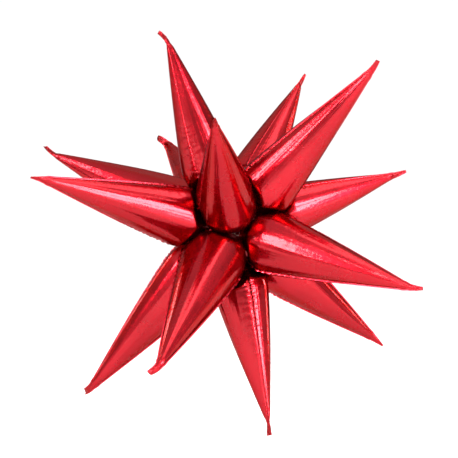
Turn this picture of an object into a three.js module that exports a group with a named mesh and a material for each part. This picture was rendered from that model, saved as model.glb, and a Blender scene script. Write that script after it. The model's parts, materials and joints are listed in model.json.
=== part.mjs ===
// A foil starburst decoration: fourteen gas-tight foil points, each a long water drop
// made of two heat-sealed films with a self-sealing valve in its filling neck. A punched
// tab at the base of every point is threaded on one tie cord, which is drawn tight and
// knotted, so the points stand out in all directions from one centre.
//
// Units are millimetres, +Z is up, and the origin is the centre of the star.
// In a point's own frame +Z runs out along its axis and the seam lies in the XZ plane.
import * as THREE from "three";
import { mergeVertices } from "three/addons/utils/BufferGeometryUtils.js";

// Overall size
const REACH = 330; // centre of the star to the end of a filling neck

// The inflated chamber of a point
const BASE_LENGTH = 48; // widest place back to the base seal
const BASE_TAPER = 1.12; // 1 is a round base; more narrows it between its neighbours
const BASE_SEAL_HALF_WIDTH = 6;
const BASE_SEAL_LENGTH = 3;
const NECK_LENGTH = 24;
const NECK_HALF_WIDTH = 3.4;
const NECK_HALF_HEIGHT = 0.5;
const SEAM_WIDTH = 1.6; // flat heat-sealed border beside the chamber
const SHOULDER = 0.35; // share of the cone's length where its side is fullest
const SHOULDER_FULLNESS = 0.07;

// Films, with the room that keeps the solids of touching pieces apart
const FILM = 0.8;
const GAP = 0.3;

// The punched tab and the cord through it
const HOLE_DISTANCE = 17.5; // centre of the star to the centre of a tab's hole
const HOLE_RADIUS = 1.8;
const TAB_END_RADIUS = 4;
const TAB_ROOT_HALF_WIDTH = 6;
const TAB_THICKNESS = 0.8;
const CORD_RADIUS = 0.8;
const CORD_SIDES = 8;
const CORD_STEPS = 70;
const KNOT_RADIUS = 2.2;
const KNOT_TUBE = 0.7;
const KNOT_STEPS = 36;
const KNOT_SIDES = 5;

// The valve: a clear flattened sleeve inside the neck
const VALVE_WIDTH = 5;
const VALVE_THICKNESS = 0.4;
const VALVE_LENGTH = 62;
const VALVE_INSET = 6; // mouth of the neck to the outer end of the valve

// Each point: bearing from +X towards +Z and lean towards -Y, in degrees; reach as a
// share of REACH; the distance from the centre of the star to its widest place and its
// radius there; and the turn of its seam about its axis, where zero lets a film face -Y.
// The bases nest, so some sit closer to the centre than others.
const POINTS = [
  { bearing: 108, lean: 11, reach: 0.97, belly: 105, radius: 36, seam: 60 },
  { bearing: 48, lean: 18, reach: 1.055, belly: 100, radius: 36, seam: 25 },
  { bearing: -18, lean: 27, reach: 1, belly: 81, radius: 39, seam: -20 },
  { bearing: -78.5, lean: 10, reach: 0.97, belly: 101, radius: 33, seam: 70 },
  { bearing: -131, lean: -3, reach: 1.04, belly: 101, radius: 37.5, seam: 10 },
  { bearing: -117, lean: 48, reach: 1.04, belly: 83, radius: 35, seam: 0 },
  { bearing: 98, lean: 60, reach: 0.95, belly: 81, radius: 34.5, seam: 20 },
  { bearing: 165, lean: 34, reach: 1.065, belly: 99, radius: 31, seam: -15 },
  { bearing: 157, lean: -15, reach: 1, belly: 103, radius: 36.5, seam: 60 },
  { bearing: 64, lean: -33, reach: 1.005, belly: 108, radius: 36, seam: 60 },
  { bearing: 18, lean: -17, reach: 0.93, belly: 105, radius: 33.5, seam: 40 },
  { bearing: -37, lean: -22, reach: 1, belly: 104, radius: 34.5, seam: 0 },
  { bearing: 126, lean: -57, reach: 1.04, belly: 92, radius: 33, seam: 0 },
  { bearing: -36, lean: -72, reach: 1, belly: 92, radius: 35, seam: 0 },
];

// The order in which the cord passes through the tabs, by place in POINTS.
const THREADING = [6, 0, 1, 10, 9, 12, 13, 11, 2, 5, 3, 4, 8, 7];

const FOIL = { color: 0xcf1528, roughness: 0.24, metalness: 0.9 };
const VALVE_FILM = { color: 0xdfe3e6, roughness: 0.35, metalness: 0, transparent: true, opacity: 0.6 };
const COTTON = { color: 0xe9e2d4, roughness: 0.9, metalness: 0 };

const radians = THREE.MathUtils.degToRad;

function direction(point) {
  const bearing = radians(point.bearing);
  const lean = radians(point.lean);
  return new THREE.Vector3(
    Math.cos(lean) * Math.cos(bearing),
    -Math.sin(lean),
    Math.cos(lean) * Math.sin(bearing),
  );
}

function meshOf(name, geometry, finish) {
  const mesh = new THREE.Mesh(geometry, new THREE.MeshStandardMaterial(finish));
  mesh.name = name;
  return mesh;
}

// A turned frame whose Z axis is the given axis and whose Y axis is the given normal,
// made square to it.
function frameOf(axis, normal) {
  const side = new THREE.Vector3().crossVectors(normal, axis).normalize();
  const face = new THREE.Vector3().crossVectors(axis, side);
  return new THREE.Quaternion().setFromRotationMatrix(new THREE.Matrix4().makeBasis(side, face, axis));
}

// The normal of a point's seam plane, turned about its axis from the one facing -Y.
function seamNormal(point) {
  const axis = direction(point);
  const front = new THREE.Vector3(0, -1, 0);
  front.addScaledVector(axis, -front.dot(axis)).normalize();
  return front.applyAxisAngle(axis, radians(point.seam));
}

// Stations along a point: distance from the centre, the half width and half height of the
// space between its two films there, and how flat that space is on top: 1 is a round
// section, and 2 is one whose films run flat between two slanting sides.
function stations(point) {
  const mouth = REACH * point.reach;
  const tip = mouth - NECK_LENGTH;
  const base = point.belly - BASE_LENGTH;
  const inner = point.radius - FILM;
  const list = [
    { at: base - BASE_SEAL_LENGTH, width: BASE_SEAL_HALF_WIDTH, height: 0, flatness: 1 },
    { at: base, width: BASE_SEAL_HALF_WIDTH, height: 0, flatness: 1 },
  ];
  for (const turn of [30, 50, 70, 90]) {
    const radius = inner * Math.sin(radians(turn)) ** BASE_TAPER;
    const at = point.belly - BASE_LENGTH * Math.cos(radians(turn));
    list.push({ at, width: radius, height: radius, flatness: 1 });
  }
  const shoulder = THREE.MathUtils.lerp(inner, NECK_HALF_WIDTH, SHOULDER) + inner * SHOULDER_FULLNESS;
  const shoulderAt = THREE.MathUtils.lerp(point.belly, tip, SHOULDER);
  list.push({ at: shoulderAt, width: shoulder, height: shoulder, flatness: 1 });
  for (const at of [tip, mouth]) {
    list.push({ at, width: NECK_HALF_WIDTH, height: NECK_HALF_HEIGHT, flatness: 2 });
  }
  return list;
}

// One film of a point: a half tube over the seam plane with a flat border on each side.
// A box is divided across the film and along the point, and its two large faces become
// the outer and inner faces of the film.
function filmGeometry(point) {
  const list = stations(point);
  const arcSteps = 6;
  const across = arcSteps + 2;
  const along = list.length - 1;
  const box = new THREE.BoxGeometry(1, 1, 1, across, 1, along);
  const places = box.getAttribute("position");
  for (let i = 0; i < places.count; i += 1) {
    const column = Math.round((places.getX(i) + 0.5) * across);
    const station = list[Math.round((places.getZ(i) + 0.5) * along)];
    const skin = places.getY(i) > 0 ? FILM : 0;
    const step = THREE.MathUtils.clamp(column - 1, 0, arcSteps);
    const angle = Math.PI * (1 - step / arcSteps);
    let x = (station.width + skin) * Math.cos(angle);
    if (column === 0) x = -station.width - FILM - SEAM_WIDTH;
    if (column === across) x = station.width + FILM + SEAM_WIDTH;
    const rise = Math.min(1, station.flatness * Math.sin(angle));
    const y = GAP / 2 + skin + station.height * rise;
    places.setXYZ(i, x, y, station.at);
  }
  box.deleteAttribute("normal");
  box.deleteAttribute("uv");
  return mergeVertices(box);
}

function valveMesh(name, point) {
  const geometry = new THREE.BoxGeometry(VALVE_WIDTH, VALVE_THICKNESS, VALVE_LENGTH);
  const mesh = meshOf(name, geometry, VALVE_FILM);
  mesh.position.z = REACH * point.reach - VALVE_INSET - VALVE_LENGTH / 2;
  return mesh;
}

// The tab: a round end about its hole, widening to the base seal of the point.
function tabGeometry(point) {
  const root = point.belly - BASE_LENGTH - BASE_SEAL_LENGTH - GAP;
  const outline = new THREE.Shape();
  outline.moveTo(TAB_ROOT_HALF_WIDTH, root);
  outline.lineTo(-TAB_ROOT_HALF_WIDTH, root);
  outline.lineTo(-TAB_END_RADIUS, HOLE_DISTANCE);
  outline.absarc(0, HOLE_DISTANCE, TAB_END_RADIUS, Math.PI, 2 * Math.PI);
  outline.closePath();
  const hole = new THREE.Path();
  hole.absarc(0, HOLE_DISTANCE, HOLE_RADIUS, 0, 2 * Math.PI, true);
  outline.holes.push(hole);
  const geometry = new THREE.ExtrudeGeometry(outline, {
    depth: TAB_THICKNESS,
    bevelEnabled: false,
    curveSegments: 8,
  });
  geometry.translate(0, 0, -TAB_THICKNESS / 2);
  geometry.rotateX(Math.PI / 2);
  return geometry;
}

// The cord's loop through the tab holes.
function cordLoop() {
  const holes = THREADING.map((place) => direction(POINTS[place]).multiplyScalar(HOLE_DISTANCE));
  return new THREE.CatmullRomCurve3(holes, true, "centripetal");
}

// The open route of the cord: once round the loop, from one side of the knot to the other.
class CordRoute extends THREE.Curve {
  constructor(loop, start, end) {
    super();
    this.loop = loop;
    this.start = start;
    this.end = end;
  }

  getPoint(t, target = new THREE.Vector3()) {
    return this.loop.getPoint(THREE.MathUtils.lerp(this.start, this.end, t), target);
  }
}

function circleShape(radius, sides) {
  const shape = new THREE.Shape();
  for (let i = 0; i < sides; i += 1) {
    const angle = (2 * Math.PI * i) / sides;
    const x = radius * Math.cos(angle);
    const y = radius * Math.sin(angle);
    if (i === 0) shape.moveTo(x, y);
    else shape.lineTo(x, y);
  }
  shape.closePath();
  return shape;
}

const star = new THREE.Group();
const loop = cordLoop();
const hopCount = THREADING.length;

POINTS.forEach((point, place) => {
  const number = String(place + 1).padStart(2, "0");
  const axis = direction(point);

  const holder = new THREE.Group();
  holder.quaternion.copy(frameOf(axis, seamNormal(point)));
  const film = filmGeometry(point);
  holder.add(meshOf(`point_${number}_front_film`, film, FOIL));
  const back = meshOf(`point_${number}_back_film`, film, FOIL);
  back.rotation.z = Math.PI;
  holder.add(back);
  holder.add(valveMesh(`point_${number}_valve`, point));
  star.add(holder);

  const threading = loop.getTangent(THREADING.indexOf(place) / hopCount);
  const tab = meshOf(`point_${number}_tab`, tabGeometry(point), FOIL);
  tab.quaternion.copy(frameOf(axis, threading));
  star.add(tab);
});

// The knot sits halfway along the hop between the last tab and the first.
const knotAt = 1 - 0.5 / hopCount;
const knotRoom = 0.24 / hopCount;
const route = new CordRoute(loop, knotAt + knotRoom - 1, knotAt - knotRoom);
const cord = new THREE.ExtrudeGeometry(circleShape(CORD_RADIUS, CORD_SIDES), {
  steps: CORD_STEPS,
  extrudePath: route,
  bevelEnabled: false,
});
star.add(meshOf("tie_cord", cord, COTTON));

const knot = meshOf(
  "tie_knot",
  new THREE.TorusKnotGeometry(KNOT_RADIUS, KNOT_TUBE, KNOT_STEPS, KNOT_SIDES),
  COTTON,
);
knot.position.copy(loop.getPoint(knotAt));
knot.quaternion.copy(frameOf(loop.getTangent(knotAt), loop.getPoint(knotAt).normalize()));
star.add(knot);

export default star;
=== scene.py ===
"""A foil starburst decoration: fourteen inflated film points drawn together on a tie cord.

Each point is two films heat-sealed along a puckered seam. Lengths are in metres. A point's
place and size come from its CAD films and its joints.
"""

import json
import math

import bpy
import numpy as np
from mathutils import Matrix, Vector


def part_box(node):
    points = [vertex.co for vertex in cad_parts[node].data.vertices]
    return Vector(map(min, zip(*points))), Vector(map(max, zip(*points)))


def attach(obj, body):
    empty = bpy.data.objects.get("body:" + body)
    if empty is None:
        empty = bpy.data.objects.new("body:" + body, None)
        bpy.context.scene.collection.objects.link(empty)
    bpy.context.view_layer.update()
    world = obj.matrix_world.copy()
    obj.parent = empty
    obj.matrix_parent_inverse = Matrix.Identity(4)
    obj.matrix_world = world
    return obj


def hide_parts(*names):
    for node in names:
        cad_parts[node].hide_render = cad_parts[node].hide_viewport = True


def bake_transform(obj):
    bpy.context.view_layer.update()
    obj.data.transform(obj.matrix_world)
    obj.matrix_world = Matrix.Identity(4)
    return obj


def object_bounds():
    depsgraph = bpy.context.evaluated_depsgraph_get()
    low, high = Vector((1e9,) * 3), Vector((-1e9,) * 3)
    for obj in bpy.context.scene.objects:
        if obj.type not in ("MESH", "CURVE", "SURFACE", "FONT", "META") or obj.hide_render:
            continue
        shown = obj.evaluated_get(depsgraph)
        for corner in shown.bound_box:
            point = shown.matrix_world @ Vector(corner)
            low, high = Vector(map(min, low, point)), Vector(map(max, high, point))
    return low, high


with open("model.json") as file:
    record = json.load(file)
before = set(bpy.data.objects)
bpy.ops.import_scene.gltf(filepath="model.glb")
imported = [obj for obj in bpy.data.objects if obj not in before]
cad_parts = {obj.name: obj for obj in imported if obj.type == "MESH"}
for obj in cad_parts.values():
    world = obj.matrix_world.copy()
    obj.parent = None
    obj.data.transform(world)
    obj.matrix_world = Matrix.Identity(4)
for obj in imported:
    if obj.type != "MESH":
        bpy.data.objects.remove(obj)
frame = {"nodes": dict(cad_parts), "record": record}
cad_low, cad_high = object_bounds()
MM = 0.001

# ---------------------------------------------------------------- driving values

NECK_LENGTH = 24 * MM
SEAL_LENGTH = 3 * MM  # flat band at the base end of a point
SEAL_HALF_WIDTH = 6 * MM
TIP_RADIUS = 4.0 * MM
FILM_PAIR = 0.35 * MM  # half the space between the two films of a flat neck
FLANGE = 2.2 * MM  # heat-sealed border outside the chamber
BASE_TAPER = 0.48  # 1 is a round base, less is a blunt one
CONE_CURVE = 1.14  # 1 is a straight-sided cone
PRESS_CLEARANCE = 0.7 * MM  # half the gap between two bases that press on each other
PRESS_SHARPNESS = 80  # how crisp the rim of a pressed place is
PRESS_LEAST = 0.5 * MM  # the least radius that a pressed place is left with
CONTACT_TILT = np.array([0, 0.09, 0])  # leans the faces where bases press on each other
TWIST_ROOM = math.radians(10)  # a pressed place stays clear when its point is twisted so far
CREASED = 0.72  # share of the seam, from the base, that has puckers
PUCKER_PITCH = (3.4 * MM, 9.2 * MM)  # least and most, as for the next two
PUCKER_DEPTH = (0.7 * MM, 3.0 * MM)
PUCKER_REACH = (2 * MM, 8 * MM)  # how far from its seam a pucker fades
PUCKER_SLANT = 0.45
SEAM_LIFT = 0.2 * MM  # each film's height over the seam plane at its seam
HOLE_RADIUS = 1.8 * MM
TAB_HALF_WIDTH = 4 * MM
TAB_HEAD = 5 * MM  # centre of the hole to where the tab's strip begins
TAB_THICKNESS = 0.3 * MM
TAB_COLUMNS = 9
NECK_WAVES = 3  # waves that add up to the crumple of a neck
CRUMPLE = 0.45 * MM  # the crumple's height
NECK_FLATNESS = 2.2  # 1 is a round neck, more is one with flat films
VALVE_INNER_END = 68 * MM  # mouth of the neck to the valve's inner end
VALVE_OUTER_END = 4 * MM
VALVE_HALF_WIDTH = 2.5 * MM
VALVE_THICKNESS = 0.16 * MM
CORD_RADIUS = 0.8 * MM
KNOT_CORD_RADIUS = 0.75 * MM  # the cord is drawn thinner in its knot
KNOT_SIZE = 1.15 * MM
KNOT_TAIL = 9 * MM
CORD_POINTS = 420
CORD_PITCH = 4.5 * MM  # length in which a ply goes once round the cord
THREADING = ["07", "01", "02", "11", "10", "13", "14", "12", "03", "06", "04", "05", "09", "08"]

# How each point differs: how much closer to the centre it sits than its CAD films, and its
# belly radius before its neighbours press on it, in mm; the number and strength of the long
# flats down each film; the neck's curl, the direction it curls to (0 is the front film's
# side), its roll about its length and its fold, in degrees; how much the neck narrows to its
# mouth; and the random seed.
LOOK_NAMES = ("inset", "belly", "flats", "flat", "curl", "curl_to", "roll", "fold", "taper", "seed")
LOOK_ROWS = {
    "01": (0, 41.5, 5, 0.22, 38, 150, 0, 25, 0.1, 11),
    "02": (7, 45.0, 5, 0.28, 12, 100, 10, 35, 0.4, 12),
    "03": (2, 48.5, 7, 0.50, 18, 80, 30, 50, 0.6, 13),
    "04": (3, 42.0, 4, 0.15, 8, 0, -20, 10, 0.0, 14),
    "05": (10, 45.0, 5, 0.20, 70, 200, 15, 60, 0.1, 15),
    "06": (3, 49.0, 6, 0.32, 30, 250, 10, 40, 0.1, 16),
    "07": (4, 46.0, 8, 0.65, 12, 40, 20, 45, 0.3, 17),
    "08": (8, 46.0, 7, 0.50, 10, 120, -25, 50, 0.7, 18),
    "09": (0, 43.0, 5, 0.35, 25, 300, 10, 40, 0.2, 19),
    "10": (0, 40.0, 5, 0.25, 8, 30, -35, 50, 0.7, 20),
    "11": (5, 40.5, 6, 0.35, 8, 210, -20, 50, 0.6, 21),
    "12": (0, 42.0, 5, 0.28, 8, 330, 30, 50, 0.7, 22),
    "13": (0, 40.0, 5, 0.40, 140, 20, 15, 30, 0.2, 23),
    "14": (0, 47.0, 6, 0.40, 30, 60, 20, 40, 0.3, 24),
}
LOOKS = {number: dict(zip(LOOK_NAMES, row)) for number, row in LOOK_ROWS.items()}

# Colours of the foil: between its blotches, on its sealed borders, and a painted shade where it is seen
# edge on
DEEP_RED = (0.215, 0.0025, 0.006)
BRIGHT_RED = (0.290, 0.0045, 0.010)
SEAL_RED = (0.38, 0.013, 0.026)
EDGE_SHADE_RED = (0.18, 0.002, 0.008)

# Rows along a film (its puckered part, the rest of its cone and its neck) and columns across
FINE_ROWS, COARSE_ROWS, NECK_ROWS, ARC_COLUMNS = 190, 26, 18, 38

JOINTS = {joint["name"]: joint for joint in frame["record"]["behaviour"]["joints"]}
AXES = {number: np.array(JOINTS[f"point_{number}_twist"]["axis"]) for number in LOOKS}


# ---------------------------------------------------------------- small helpers


def unit(vector):
    return vector / np.linalg.norm(vector)


def smooth(low, high, value):
    t = np.clip((value - low) / (high - low), 0, 1)
    return t * t * (3 - 2 * t)


def node_points(name):
    mesh = frame["nodes"][name].data
    places = np.empty(len(mesh.vertices) * 3)
    mesh.vertices.foreach_get("co", places)
    return places.reshape(-1, 3)


def new_object(name, places, faces, material):
    mesh = bpy.data.meshes.new(name)
    mesh.from_pydata([tuple(p) for p in places], [], faces)
    mesh.validate()
    mesh.polygons.foreach_set("use_smooth", [True] * len(mesh.polygons))
    mesh.materials.append(material)
    piece = bpy.data.objects.new(name, mesh)
    bpy.context.scene.collection.objects.link(piece)
    return piece


def grid_faces(rows, columns, flip=False):
    faces = []
    for i in range(rows - 1):
        for j in range(columns - 1):
            corner = i * columns + j
            face = (corner, corner + 1, corner + columns + 1, corner + columns)
            faces.append(face[::-1] if flip else face)
    return faces


# ---------------------------------------------------------------- materials


class Nodes:
    """A material's node tree, with short ways to add and join nodes."""

    def __init__(self, name):
        self.material = bpy.data.materials.new(name)
        self.material.use_nodes = True
        self.tree = self.material.node_tree
        self.shader = self.tree.nodes["Principled BSDF"]

    def add(self, kind, **values):
        node = self.tree.nodes.new(kind)
        for key, value in values.items():
            setattr(node, key, value)
        return node

    def join(self, source, output, target, socket):
        self.tree.links.new(source.outputs[output], target.inputs[socket])

    def noise(self, scale, detail=3.0, roughness=0.5, place=None):
        """Noise by place on the object, or by a named place stored on the mesh."""
        noise = self.add("ShaderNodeTexNoise")
        noise.inputs["Scale"].default_value = scale
        noise.inputs["Detail"].default_value = detail
        noise.inputs["Roughness"].default_value = roughness
        if place:
            self.join(self.add("ShaderNodeAttribute", attribute_name=place), "Vector", noise, "Vector")
        else:
            self.join(self.add("ShaderNodeTexCoord"), "Object", noise, "Vector")
        return noise

    def ramp(self, source, output, stops):
        ramp = self.add("ShaderNodeValToRGB")
        elements = ramp.color_ramp.elements
        while len(elements) < len(stops):
            elements.new(0.5)
        for element, (position, colour) in zip(elements, stops):
            element.position = position
            element.color = (*colour, 1)
        self.join(source, output, ramp, "Fac")
        return ramp

    def bump(self, source, output, strength, distance, under=None):
        bump = self.add("ShaderNodeBump")
        bump.inputs["Strength"].default_value = strength
        bump.inputs["Distance"].default_value = distance
        self.join(source, output, bump, "Height")
        if under:
            self.join(under, "Normal", bump, "Normal")
        return bump


def grey(value):
    return (value, value, value)


def foil_material():
    """Red metallised film: a mirror under a clear red lacquer, finely crinkled."""
    nodes = Nodes("red_foil")
    shader = nodes.shader
    shader.inputs["Metallic"].default_value = 1.0
    shader.inputs["Specular Tint"].default_value = (0.5, 0.04, 0.08, 1)
    shader.inputs["Coat Roughness"].default_value = 0.07
    shader.inputs["Coat IOR"].default_value = 1.52

    # a slightly uneven red, lighter on the sealed borders, with a painted shade that darkens it where
    # seen edge on
    tone = nodes.noise(9.0, detail=2.0)
    colour = nodes.ramp(tone, "Fac", [(0.3, DEEP_RED), (0.7, BRIGHT_RED)])
    seal = nodes.add("ShaderNodeAttribute", attribute_name="seal")
    mix = nodes.add("ShaderNodeMix", data_type="RGBA")
    nodes.join(seal, "Fac", mix, 0)
    nodes.join(colour, "Color", mix, 6)
    mix.inputs[7].default_value = (*SEAL_RED, 1)
    # painted shade: by the angle of view, the red darkens to the edge shade red at the film's grazing
    # edges
    edge = nodes.add("ShaderNodeLayerWeight")
    edge.inputs["Blend"].default_value = 0.35
    dark = nodes.ramp(edge, "Facing", [(0.25, grey(0)), (0.9, grey(1))])
    shade = nodes.add("ShaderNodeMix", data_type="RGBA")
    nodes.join(dark, "Color", shade, 0)
    nodes.join(mix, 2, shade, 6)
    shade.inputs[7].default_value = (*EDGE_SHADE_RED, 1)
    nodes.join(shade, 2, shader, "Base Color")
    clear = nodes.ramp(edge, "Facing", [(0.2, grey(0.20)), (0.8, grey(0.05))])
    nodes.join(clear, "Color", shader, "Coat Weight")

    # hazier and clearer places, then three sizes of crinkle
    haze = nodes.noise(26.0, detail=4.0, roughness=0.6)
    rough = nodes.ramp(haze, "Fac", [(0.3, grey(0.20)), (0.75, grey(0.34))])
    nodes.join(rough, "Color", shader, "Roughness")
    fine = nodes.noise(420.0, detail=2.0, roughness=0.55)
    first = nodes.bump(fine, "Fac", 0.10, 0.0006)
    crinkle = nodes.noise(95.0, detail=3.0, roughness=0.6)
    second = nodes.bump(crinkle, "Fac", 0.18, 0.0016, under=first)
    streaks = nodes.noise(0.8, detail=1.2, place="film_place")
    third = nodes.bump(streaks, "Fac", 0.32, 0.0015, under=second)
    nodes.join(third, "Normal", shader, "Normal")
    nodes.join(third, "Normal", shader, "Coat Normal")
    return nodes.material


def valve_material():
    nodes = Nodes("clear_valve_film")
    shader = nodes.shader
    shader.inputs["Base Color"].default_value = (0.86, 0.88, 0.9, 1)
    shader.inputs["Roughness"].default_value = 0.3
    shader.inputs["Alpha"].default_value = 0.55
    crinkle = nodes.noise(240.0, detail=2.0)
    bump = nodes.bump(crinkle, "Fac", 0.3, 0.0006)
    nodes.join(bump, "Normal", shader, "Normal")
    return nodes.material


def cotton_material():
    nodes = Nodes("cotton_cord")
    shader = nodes.shader
    shader.inputs["Sheen Weight"].default_value = 0.3
    tone = nodes.noise(700.0, detail=3.0)
    colour = nodes.ramp(tone, "Fac", [(0.3, (0.68, 0.62, 0.52)), (0.7, (0.88, 0.84, 0.75))])
    nodes.join(colour, "Color", shader, "Base Color")
    rough = nodes.ramp(tone, "Fac", [(0.3, grey(0.78)), (0.7, grey(0.95))])
    nodes.join(rough, "Color", shader, "Roughness")
    fibres = nodes.noise(2600.0, detail=3.0)
    bump = nodes.bump(fibres, "Fac", 0.5, 0.0003)
    nodes.join(bump, "Normal", shader, "Normal")
    return nodes.material


FOIL = foil_material()
VALVE = valve_material()
COTTON = cotton_material()


# ---------------------------------------------------------------- the shape of a point


class Point:
    """One point's axis, seam plane, stations and the turns of its neck."""

    def __init__(self, number):
        look = LOOKS[number]
        self.number = number
        self.axis = AXES[number]
        front = node_points(f"point_{number}_front_film")
        back = node_points(f"point_{number}_back_film")
        normal = front.mean(axis=0) - back.mean(axis=0)
        self.face = unit(normal - self.axis * (normal @ self.axis))
        self.side = np.cross(self.face, self.axis)
        along = front @ self.axis
        self.base = along.min() + SEAL_LENGTH - look["inset"] * MM
        self.mouth = along.max()
        self.tip = self.mouth - NECK_LENGTH
        centre, self.radius = BELLIES[number]
        self.belly = centre @ self.axis
        self.curl = math.radians(look["curl"])
        self.curl_to = math.radians(look["curl_to"])
        self.roll = math.radians(look["roll"])
        self.fold = math.radians(look["fold"])
        self.taper = look["taper"]
        self.random = np.random.RandomState(look["seed"])
        self.creases = [self.seam_creases() for _ in range(2)]

    def seam_creases(self):
        """Puckers along one seam: place, half pitch, depth and slant of each."""
        rows = []
        place = self.base + 5 * MM
        end = self.base + CREASED * (self.tip - self.base)
        while place < end:
            gone = (place - self.base) / (end - self.base)
            pitch = self.random.uniform(*PUCKER_PITCH)
            fade = 1 - smooth(0.1, 0.85, gone)
            depth = self.random.uniform(*PUCKER_DEPTH) * (0.06 + 0.94 * fade)
            slant = self.random.uniform(-PUCKER_SLANT, PUCKER_SLANT)
            rows.append((place, pitch / 2, depth, slant))
            place += pitch
        return np.array(rows)

    def chamber_radius(self, along):
        back = np.clip((self.belly - along) / (self.belly - self.base), 0, 1)
        base = np.sqrt(1 - back**2) ** BASE_TAPER
        out = np.clip((along - self.belly) / (self.tip - self.belly), 0, 1)
        cone = TIP_RADIUS + (self.radius - TIP_RADIUS) * (1 - out**CONE_CURVE)
        return np.where(along < self.belly, self.radius * base, cone)

    def pressed(self, along, outward, radius, margin):
        """The radius, held back where a neighbour's base presses on it."""
        total = radius**-PRESS_SHARPNESS
        own = self.belly * self.axis
        for other, (centre, size) in BELLIES.items():
            if other == self.number:
                continue
            apart = own - centre
            distance = np.linalg.norm(apart)
            plane = centre + apart * size / (size + self.radius)
            apart = unit(apart / distance + CONTACT_TILT * np.sign(apart[1]))
            room = (along * self.axis - plane) @ apart - PRESS_CLEARANCE - margin
            sideways = np.linalg.norm(apart - self.axis * (apart @ self.axis))
            turned = np.arccos(np.clip(-(outward @ apart) / sideways, -1, 1))
            towards = sideways * np.cos(np.maximum(turned - TWIST_ROOM, 0))
            limit = np.maximum(room, PRESS_LEAST) / np.maximum(towards, 1e-3)
            total = total + limit**-PRESS_SHARPNESS
        return total ** (-1 / PRESS_SHARPNESS)

    def centre_line(self, along):
        """The centre and the turn at each distance, and the way of the bend: straight, then curled."""
        start = self.tip - 10 * MM
        turned = self.curl * smooth(start, self.mouth + 4 * MM, along)
        bend = math.cos(self.curl_to) * self.face + math.sin(self.curl_to) * self.side
        steps = np.diff(along, prepend=along[0])
        heading = np.outer(np.cos(turned), self.axis) + np.outer(np.sin(turned), bend)
        centre = along[0] * self.axis + np.cumsum(heading * steps[:, None], axis=0)
        return centre, turned, bend

    def rolled(self, along, across, rise):
        """The neck narrowed, folded along its length and rolled about it."""
        share = np.clip((along - self.tip) / (self.mouth - self.tip), 0, 1)[:, None]
        across = across * (1 - self.taper * share)
        bent = self.fold * share / (TIP_RADIUS + FLANGE) + 1e-4  # never quite straight
        folded = np.sin(bent * across) / bent - rise * np.sin(bent * across)
        raised = (1 - np.cos(bent * across)) / bent + rise * np.cos(bent * across)
        turn = self.roll * share
        new_across = folded * np.cos(turn) - raised * np.sin(turn)
        new_rise = folded * np.sin(turn) + raised * np.cos(turn)
        return new_across, new_rise

    def carry(self, vectors, turned, bend):
        """Vectors of the straight point, one set for each station, turned with its curl."""
        part = vectors @ bend
        turn = turned[:, None]
        new_bend = np.cos(turn)[..., None] * bend - np.sin(turn)[..., None] * self.axis
        return vectors - part[..., None] * bend + part[..., None] * new_bend


def belly_of(number):
    """Centre of a point's widest place, and its radius there."""
    front = node_points(f"point_{number}_front_film")
    along = front @ AXES[number]
    radial = np.linalg.norm(front - np.outer(along, AXES[number]), axis=1)
    look = LOOKS[number]
    belly = along[radial.argmax()] - look["inset"] * MM
    return belly * AXES[number], look["belly"] * MM


BELLIES = {number: belly_of(number) for number in LOOKS}


def stations(point):
    """Distances along a point, close together where the seam is puckered."""
    seal = np.array([point.base - SEAL_LENGTH, point.base - SEAL_LENGTH / 2])
    split = point.base + CREASED * (point.tip - point.base)
    fine = np.linspace(point.base, split, FINE_ROWS, endpoint=False)
    coarse = np.linspace(split, point.tip, COARSE_ROWS, endpoint=False)
    neck = np.linspace(point.tip, point.mouth, NECK_ROWS)
    return np.concatenate([seal, fine, coarse, neck])


def section_angles():
    """Angles across a film from seam to seam, closer together near the seams."""
    t = np.linspace(0, 1, ARC_COLUMNS)
    return np.pi * (t - 0.055 * np.sin(2 * np.pi * t))


def facets(point, angles, along):
    """How far the film falls inside a round section: flat strips between long soft creases."""
    look = LOOKS[point.number]
    count = look["flats"]
    edges = np.linspace(0, np.pi, count + 1)
    edges[1:-1] += point.random.uniform(-0.3, 0.3, count - 1) * np.pi / count
    middle = (edges[1:] + edges[:-1]) / 2
    half = (edges[1:] - edges[:-1]) / 2
    wander = 0.05 * np.sin(along * 40 + point.random.uniform(0, 6))[:, None]
    turned = np.clip(angles[None, :] + wander * np.sin(angles)[None, :], 0, np.pi)
    place = np.clip(np.searchsorted(edges, turned, side="right") - 1, 0, count - 1)
    flat = np.cos(half[place]) / np.cos(turned - middle[place])
    gone = (along - point.base) / (point.tip - point.base)
    share = 1.1 - 0.35 * smooth(0.12, 0.4, gone) + 0.25 * smooth(0.6, 0.95, gone)
    return (1 - look["flat"] * share[:, None] * (1 - flat)) * pleats(point, angles, along)


def pleats(point, angles, along):
    """Soft lengthwise waves that fan out from the tip, some dying out on the way."""
    wave = 0
    for _ in range(5):
        count = point.random.uniform(7, 22)
        phase = point.random.uniform(0, 2 * np.pi) + 6 * point.random.uniform(-1, 1) * along[:, None]
        middle = point.random.uniform(point.base, point.tip)
        strong = np.exp(-(((along - middle) / (70 * MM)) ** 2))[:, None]
        wave = wave + strong * np.sin(count * angles[None, :] + phase) * 7 / count
    return 1 + 0.013 * wave * np.sin(angles)[None, :] ** 0.5


def pucker_depth(creases, along, distance, reach):
    """How deep the puckers of one seam press in at each place of a film."""
    depth = np.zeros(distance.shape)
    for (place, half, deep, slant), length in zip(creases, reach):
        near = np.abs(along[:, None] - place - slant * distance) / half
        cut = np.clip(1 - near, 0, 1)
        depth += deep * cut * np.exp(-((distance / length) ** 1.2))
    return depth


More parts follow.
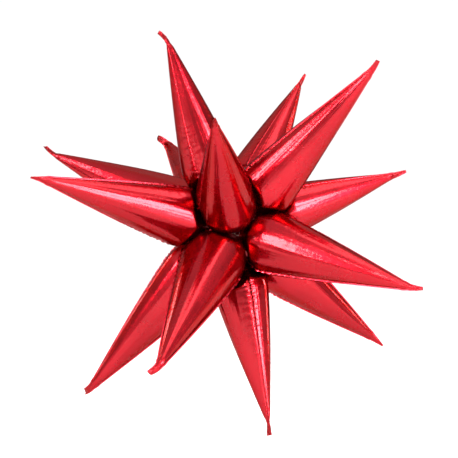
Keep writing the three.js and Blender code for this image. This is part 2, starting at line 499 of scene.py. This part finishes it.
def film_places(point, sign):
    """The grid of one film: sign is 1 for the front and -1 for the back."""
    along = stations(point)
    angles = section_angles()
    rows, columns = len(along), len(angles)
    gone = np.clip((along - point.base) / (point.tip - point.base), 0, 1)
    neck = smooth(point.tip - 8 * MM, point.tip + 15 * MM, along)

    outward = -np.cos(angles)[:, None] * point.side + sign * np.sin(angles)[:, None] * point.face
    radius = point.chamber_radius(along)[:, None] * facets(point, angles, along)
    grid = np.broadcast_to(outward, (rows, columns, 3))
    seam_side = np.clip((np.abs(np.cos(angles)) - 0.75) / 0.25, 0, 1)[None, :] * FLANGE
    radius = point.pressed(along[:, None, None], grid, np.maximum(radius, PRESS_LEAST), seam_side)

    # the puckers of both seams, each fading round the film from its own seam
    for side, creases in enumerate(point.creases):
        swing = angles if side == 0 else np.pi - angles
        distance = radius * swing[None, :]
        reach = point.random.uniform(*PUCKER_REACH, len(creases))
        radius = radius - pucker_depth(creases, along, distance, reach)

    width = np.maximum(radius, SEAL_HALF_WIDTH * (1 - neck)[:, None])
    crumple = sum(neck_wave(point, along, angles) for _ in range(NECK_WAVES)) / NECK_WAVES
    across = -np.cos(angles)[None, :] * width
    above = np.sin(angles)[None, :] * radius + SEAM_LIFT
    flat = np.minimum(1, NECK_FLATNESS * np.sin(angles))[None, :] * FILM_PAIR + SEAM_LIFT
    above = above * (1 - neck)[:, None] + flat * neck[:, None]
    seal = (along < point.base)[:, None]
    above = np.where(seal, SEAM_LIFT, above)
    return along, across, above, neck, gone, crumple


def neck_wave(point, along, angles):
    """One soft slanting wave over a film, for the crumpled neck."""
    length = point.random.uniform(4, 11) * MM
    slant = point.random.uniform(-1.5, 1.5)
    phase = point.random.uniform(0, 2 * np.pi)
    across = -np.cos(angles) * TIP_RADIUS
    return np.sin(2 * np.pi * (along[:, None] + slant * across[None, :]) / length + phase)


def film(point, sign, name):
    """One film of a point as a piece: chamber, flat seam border and half of the neck."""
    along, across, above, neck, gone, crumple = film_places(point, sign)

    # the border beyond each seam, closing on the other film at its edge
    border = FLANGE * (0.35 + 0.65 * smooth(0.0, 0.1, gone))[:, None]
    left = across[:, :1]
    right = across[:, -1:]
    seam = np.full(left.shape, SEAM_LIFT)
    rim = np.zeros(left.shape)
    wider = [left - border, left - border / 2, across, right + border / 2, right + border]
    across = np.hstack(wider)
    above = np.hstack([rim, seam, above, seam, rim])
    crumple = np.pad(crumple, ((0, 0), (2, 2)), mode="edge")

    rise = sign * above + seam_ruffle(point, along, across) + crumple * (CRUMPLE * neck)[:, None]
    across, rise = point.rolled(along, across, rise)
    straight = across[..., None] * point.side + rise[..., None] * point.face
    centre, turned, bend = point.centre_line(along)
    places = centre[:, None, :] + point.carry(straight, turned, bend)
    rows, columns = across.shape
    piece = new_object(name, places.reshape(-1, 3), grid_faces(rows, columns, flip=sign > 0), FOIL)
    mark_film(piece, rows, columns, along, point)
    return piece


def seam_ruffle(point, along, across):
    """How far each seam waves out of its plane, the same for both films."""
    ruffle = np.zeros(across.shape)
    half = across.shape[1] // 2
    for side, creases in enumerate(point.creases):
        wave = np.zeros(len(along))
        for index, (place, pitch, deep, _) in enumerate(creases):
            near = np.clip(1 - np.abs(along - place) / (2 * pitch), 0, 1)
            wave += (1 if index % 2 else -1) * deep * 0.28 * near
        columns = slice(0, half) if side == 0 else slice(half, None)
        edge = across[:, :1] if side == 0 else across[:, -1:]
        away = np.abs(across[:, columns] - edge)
        ruffle[:, columns] = wave[:, None] * np.exp(-((away / (6 * MM)) ** 2))
    return ruffle


def mark_film(piece, rows, columns, along, point):
    """Marks the sealed borders, and where each place is on its film, for the foil's pattern."""
    mark = np.zeros((rows, columns))
    mark[:, :2] = 1
    mark[:, -2:] = 1
    mark[along < point.base] = 1
    layer = piece.data.attributes.new("seal", "FLOAT", "POINT")
    layer.data.foreach_set("value", mark.ravel())
    # the streaks are much longer down the film than across it, and differ from film to film
    round_film = np.broadcast_to(np.linspace(0, 38, columns)[None, :], (rows, columns))
    down_film = np.broadcast_to(9 * along[:, None], (rows, columns))
    pattern = np.full((rows, columns), 10.0 * point.random.randint(1, 90))
    layer = piece.data.attributes.new("film_place", "FLOAT_VECTOR", "POINT")
    layer.data.foreach_set("vector", np.stack([round_film, down_film, pattern], axis=-1).ravel())


# ---------------------------------------------------------------- valve, tab, cord and knot


def thicken(piece, thickness):
    """Gives an open sheet its thickness, about its own middle."""
    modifier = piece.modifiers.new("thickness", "SOLIDIFY")
    modifier.thickness = thickness
    modifier.offset = 0
    ready = piece.evaluated_get(bpy.context.evaluated_depsgraph_get())
    mesh = bpy.data.meshes.new_from_object(ready)
    piece.modifiers.clear()
    piece.data = mesh


def valve(point, name):
    """The clear flattened sleeve inside the neck, following the neck's curl."""
    along = np.linspace(point.mouth - VALVE_INNER_END, point.mouth - VALVE_OUTER_END, 44)
    across = np.linspace(-VALVE_HALF_WIDTH, VALVE_HALF_WIDTH, 5)
    centre, turned, bend = point.centre_line(np.concatenate([[point.base], along]))
    flat = np.broadcast_to(across, (len(along), len(across)))
    folded, raised = point.rolled(along, flat, np.zeros_like(flat))
    straight = folded[..., None] * point.side + raised[..., None] * point.face
    places = centre[1:, None, :] + point.carry(straight, turned[1:], bend)
    piece = new_object(name, places.reshape(-1, 3), grid_faces(len(along), len(across)), VALVE)
    thicken(piece, VALVE_THICKNESS)
    return piece


def tab(point, name):
    """The punched strip at the base: flat at its hole on the cord, twisting to the seam."""
    joint = JOINTS[f"point_{point.number}_rock"]
    hole = np.linalg.norm(joint["pos_m"])
    normal = np.array(joint["axis"])
    twist = math.atan2(normal @ point.side, normal @ point.face)
    twist = (twist + math.pi / 2) % math.pi - math.pi / 2
    start = hole + TAB_HEAD
    end = point.base - SEAL_LENGTH / 2
    plan, faces = tab_plan(hole, start, end)
    turn = twist * (1 - smooth(start, end, plan[:, 1]))
    limp = smooth(start, start + 6 * MM, plan[:, 1])
    wave = 0.25 * MM * np.sin(plan[:, 1] / (1.3 * MM)) * limp
    side = np.outer(np.cos(turn), point.side) - np.outer(np.sin(turn), point.face)
    face = np.outer(np.sin(turn), point.side) + np.outer(np.cos(turn), point.face)
    places = plan[:, 1:] * point.axis + plan[:, :1] * side + wave[:, None] * face
    piece = new_object(name, places, faces, FOIL)
    add_flat_seal(piece)
    thicken(piece, TAB_THICKNESS)
    return piece


def tab_plan(hole, start, end):
    """The flat tab: rings from its hole to its outline, then rows of a widening strip."""
    rim = np.array(tab_outline())
    bore = HOLE_RADIUS * rim / np.linalg.norm(rim, axis=1)[:, None]
    rings = 4
    around = len(rim)
    places = [bore + (rim - bore) * k / rings + [0, hole] for k in range(rings + 1)]
    faces = []
    for k in range(rings):
        for i in range(around):
            j = (i + 1) % around
            here = k * around
            faces.append((here + i, here + j, here + around + j, here + around + i))

    rows = max(6, round((end - start) / (1.6 * MM)))
    strip = (rings + 1) * around
    below = list(range(rings * around, rings * around + TAB_COLUMNS))
    for k in range(rows):
        gone = (k + 1) / rows
        half = TAB_HALF_WIDTH + (SEAL_HALF_WIDTH - TAB_HALF_WIDTH) * gone
        across = np.linspace(-half, half, TAB_COLUMNS)
        places.append(np.column_stack([across, np.full(TAB_COLUMNS, start + (end - start) * gone)]))
        above = list(range(strip + k * TAB_COLUMNS, strip + (k + 1) * TAB_COLUMNS))
        for i in range(TAB_COLUMNS - 1):
            faces.append((below[i], below[i + 1], above[i + 1], above[i]))
        below = above
    return np.vstack(places), faces


def tab_outline():
    """The tab's head about its hole: the strip's straight edge first, then a round end."""
    half = TAB_HALF_WIDTH
    outline = [(x, TAB_HEAD) for x in np.linspace(-half, half, TAB_COLUMNS)]
    outline += [(half, 3.2 * MM), (half, 1.6 * MM)]
    outline += [(half * math.cos(t), -half * math.sin(t)) for t in np.linspace(0, math.pi, 17)]
    outline += [(-half, 1.6 * MM), (-half, 3.2 * MM)]
    return outline


def add_flat_seal(piece):
    layer = piece.data.attributes.new("seal", "FLOAT", "POINT")
    layer.data.foreach_set("value", np.full(len(piece.data.vertices), 0.6))


def cord_loop(count):
    """The cord's closed route through the tab holes, as count points of a centripetal curve."""
    holes = [np.array(JOINTS[f"point_{number}_rock"]["pos_m"]) for number in THREADING]
    total = len(holes)
    route = []
    for k in range(count):
        hop, t = divmod(k * total / count, 1)
        before, start, end, after = [holes[(int(hop) + step) % total] for step in (-1, 0, 1, 2)]
        gap_in = np.linalg.norm(start - before) ** 0.5
        gap = np.linalg.norm(end - start) ** 0.5
        gap_out = np.linalg.norm(after - end) ** 0.5
        step = end - start
        leaving = (start - before) / gap_in - (end - before) / (gap_in + gap) + step / gap
        leaving = leaving * gap
        coming = step / gap - (after - start) / (gap + gap_out) + (after - end) / gap_out
        coming = coming * gap
        cubic = leaving + coming - 2 * step
        square = 3 * step - 2 * leaving - coming
        route.append(start + leaving * t + square * t**2 + cubic * t**3)
    return np.array(route)


def transported(route, closed):
    """The route's direction at each point, and two directions square to it that turn little."""
    ahead = np.roll(route, -1, axis=0) - np.roll(route, 1, axis=0)
    if not closed:
        ahead = np.gradient(route, axis=0)
    ahead /= np.linalg.norm(ahead, axis=1)[:, None]
    normal = unit(np.cross(ahead[0], [0.3, 0.5, 0.8]))
    normals = []
    for direction in ahead:
        normal = unit(normal - direction * (normal @ direction))
        normals.append(normal)
    normals = np.array(normals)
    if closed:
        last = normals[-1] - ahead[0] * (normals[-1] @ ahead[0])
        error = math.atan2(np.cross(normals[0], last) @ ahead[0], normals[0] @ last)
        back = -error * np.arange(len(route)) / len(route)
        other = np.cross(ahead, normals)
        normals = np.cos(back)[:, None] * normals + np.sin(back)[:, None] * other
    return ahead, normals, np.cross(ahead, normals)


def tube(route, radius, sides, closed):
    """Places and faces of a tube along a route, with closed ends where it is open."""
    _, normals, others = transported(route, closed)
    turns = 2 * np.pi * np.arange(sides) / sides
    ring = np.cos(turns)[:, None] * normals[:, None] + np.sin(turns)[:, None] * others[:, None]
    places = (route[:, None] + radius * ring).reshape(-1, 3)
    faces = []
    rows = len(route)
    for i in range(rows if closed else rows - 1):
        for j in range(sides):
            here = i * sides
            there = (i + 1) % rows * sides
            beside = (j + 1) % sides
            faces.append((here + j, here + beside, there + beside, there + j))
    if not closed:
        faces.append(tuple(range(sides))[::-1])
        faces.append(tuple(range((rows - 1) * sides, rows * sides)))
    return places, faces


def twisted(name, route, radius, closed):
    """A cord of three plies laid round each other."""
    _, normals, others = transported(route, closed)
    steps = np.linalg.norm(np.diff(route, axis=0), axis=1)
    length = np.concatenate([[0], np.cumsum(steps)])
    whole = length[-1] + (np.linalg.norm(route[0] - route[-1]) if closed else 0)
    turns = max(1, round(whole / CORD_PITCH))
    places = []
    faces = []
    for ply in range(3):
        angle = 2 * np.pi * (turns * length / whole + ply / 3)
        offset = np.cos(angle)[:, None] * normals + np.sin(angle)[:, None] * others
        ply_places, ply_faces = tube(route + offset * radius * 0.53, radius * 0.5, 7, closed)
        start = sum(len(group) for group in places)
        places.append(ply_places)
        faces += [tuple(start + i for i in face) for face in ply_faces]
    return new_object(name, np.vstack(places), faces, COTTON)


def knot_route(centre, ahead, out):
    """A tight overhand knot of the cord with its two cut ends."""
    across = np.cross(ahead, out)
    turns = np.linspace(0.35, 2 * np.pi - 0.35, 110)
    wide = (2 + np.cos(3 * turns)) * KNOT_SIZE
    knot = (
        (wide * np.cos(2 * turns))[:, None] * across
        + (wide * np.sin(2 * turns))[:, None] * out
        + (1.1 * KNOT_SIZE * np.sin(3 * turns))[:, None] * ahead
    )
    start = knot[0]
    end = knot[-1]
    tail = np.linspace(1, 0.12, 8)[:, None] * KNOT_TAIL
    lead_in = start + tail * unit(start + KNOT_SIZE * (0.7 * out - 0.8 * across))
    lead_out = end + tail[::-1] * unit(end + KNOT_SIZE * (0.9 * out + 0.6 * across))
    return centre + np.vstack([lead_in, knot, lead_out])


# ---------------------------------------------------------------- building


def put(piece, body, slot, *nodes):
    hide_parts(*nodes)
    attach(piece, body)


def build_point(number):
    point = Point(number)
    body = f"point_{number}"
    for sign, label in ((1, "front"), (-1, "back")):
        piece = film(point, sign, f"foil_{number}_{label}")
        put(piece, body, "foil", f"point_{number}_{label}_film")
    put(valve(point, f"valve_{number}"), body, "valve_film", f"point_{number}_valve")
    strip = tab(point, f"tab_{number}")
    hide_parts(f"point_{number}_tab")
    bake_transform(strip)


def build_cord():
    route = cord_loop(CORD_POINTS)
    cord = twisted("tie_cord_yarn", route, CORD_RADIUS, closed=True)
    put(cord, "core", "cotton_cord", "tie_cord")
    low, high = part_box("tie_knot")
    centre = (np.array(low) + np.array(high)) / 2
    near = np.linalg.norm(route - centre, axis=1).argmin()
    ahead = unit(route[(near + 1) % len(route)] - route[near - 1])
    out = unit(centre - ahead * (centre @ ahead))
    knot = twisted("tie_knot_yarn", knot_route(centre, ahead, out), KNOT_CORD_RADIUS, closed=False)
    put(knot, "core", "cotton_cord", "tie_knot")


for number in LOOKS:
    build_point(number)
build_cord()


# ---------------------------------------------------------------- stage, lights and camera


def plain_material(name, colour, roughness):
    nodes = Nodes(name)
    nodes.shader.inputs["Base Color"].default_value = (*colour, 1)
    nodes.shader.inputs["Roughness"].default_value = roughness
    return nodes.material


def make_stage():
    """A round floor that rises gently far away, so that no horizon shows."""
    level = cad_low.z - 1 * MM
    flat, rim, height = 2.5, 16.0, 3.2
    distances = [0.02, 1.2] + list(np.linspace(flat, rim, 20))
    profile = [(r, height * max(0, (r - flat) / (rim - flat)) ** 2) for r in distances]
    turns = np.linspace(0, 2 * np.pi, 97)[:-1]
    places = [(r * math.cos(t), r * math.sin(t), level + z) for r, z in profile for t in turns]
    faces = []
    count = len(turns)
    for i in range(len(profile) - 1):
        for j in range(count):
            k = (j + 1) % count
            faces.append((i * count + j, i * count + k, (i + 1) * count + k, (i + 1) * count + j))
    faces.append(tuple(range(count))[::-1])
    floor = new_object("floor", places, faces, plain_material("floor", grey(0.79), 0.8))


def make_world():
    """A studio in the round: dim walls low down, a bright ceiling overhead."""
    world = bpy.data.worlds.new("studio")
    bpy.context.scene.world = world
    world.use_nodes = True
    tree = world.node_tree
    back = tree.nodes["Background"]
    place = tree.nodes.new("ShaderNodeTexCoord")
    split = tree.nodes.new("ShaderNodeSeparateXYZ")
    ramp = tree.nodes.new("ShaderNodeValToRGB")
    tree.links.new(place.outputs["Generated"], split.inputs[0])
    tree.links.new(split.outputs["Z"], ramp.inputs["Fac"])
    tree.links.new(ramp.outputs["Color"], back.inputs["Color"])
    elements = ramp.color_ramp.elements
    while len(elements) < 4:
        elements.new(0.5)
    for element, (height, light) in zip(elements, ((0.0, 0.45), (0.45, 0.45), (0.66, 1.0), (1.0, 0.85))):
        element.position = height
        element.color = (*grey(light), 1)
    back.inputs["Strength"].default_value = 1.6


def softbox(name, place, size, power, aim=(0, 0, 0)):
    light = bpy.data.lights.new(name, "AREA")
    light.shape = "RECTANGLE"
    light.size, light.size_y = size
    light.energy = power
    lamp = bpy.data.objects.new(name, light)
    lamp.location = place
    lamp.visible_camera = False
    lamp.rotation_mode = "QUATERNION"
    lamp.rotation_quaternion = (Vector(aim) - Vector(place)).to_track_quat("-Z", "Y")
    bpy.context.scene.collection.objects.link(lamp)


def make_lights():
    softbox("key", (-1.35, -2.44, 1.35), (0.5, 1.5), 100)
    softbox("fill", (2.28, -2.05, 0.4), (1.3, 1.8), 290)
    softbox("left", (-2.6, -1.3, 1.5), (0.6, 1.2), 88)
    softbox("front", (0.2, -2.3, 2.1), (1.3, 0.28), 36)
    softbox("top", (0.95, -0.5, 2.3), (1.8, 1.4), 40)
    softbox("left_rim", (-2.2, 1.6, 0.9), (0.3, 1.5), 30)
    softbox("right_rim", (2.3, 1.3, 0.5), (0.3, 1.4), 28)


def make_camera():
    """Level with the centre of the star, which it looks straight at along +Y."""
    camera = bpy.data.cameras.new("camera")
    camera.sensor_width = 36
    camera.lens = 153
    holder = bpy.data.objects.new("camera", camera)
    holder.location = (0, -2.97, 0)
    holder.rotation_euler = (math.radians(90), 0, 0)
    bpy.context.scene.collection.objects.link(holder)
    bpy.context.scene.camera = holder


make_stage()
make_world()
make_lights()
make_camera()
bpy.context.scene.view_settings.view_transform = "Standard"
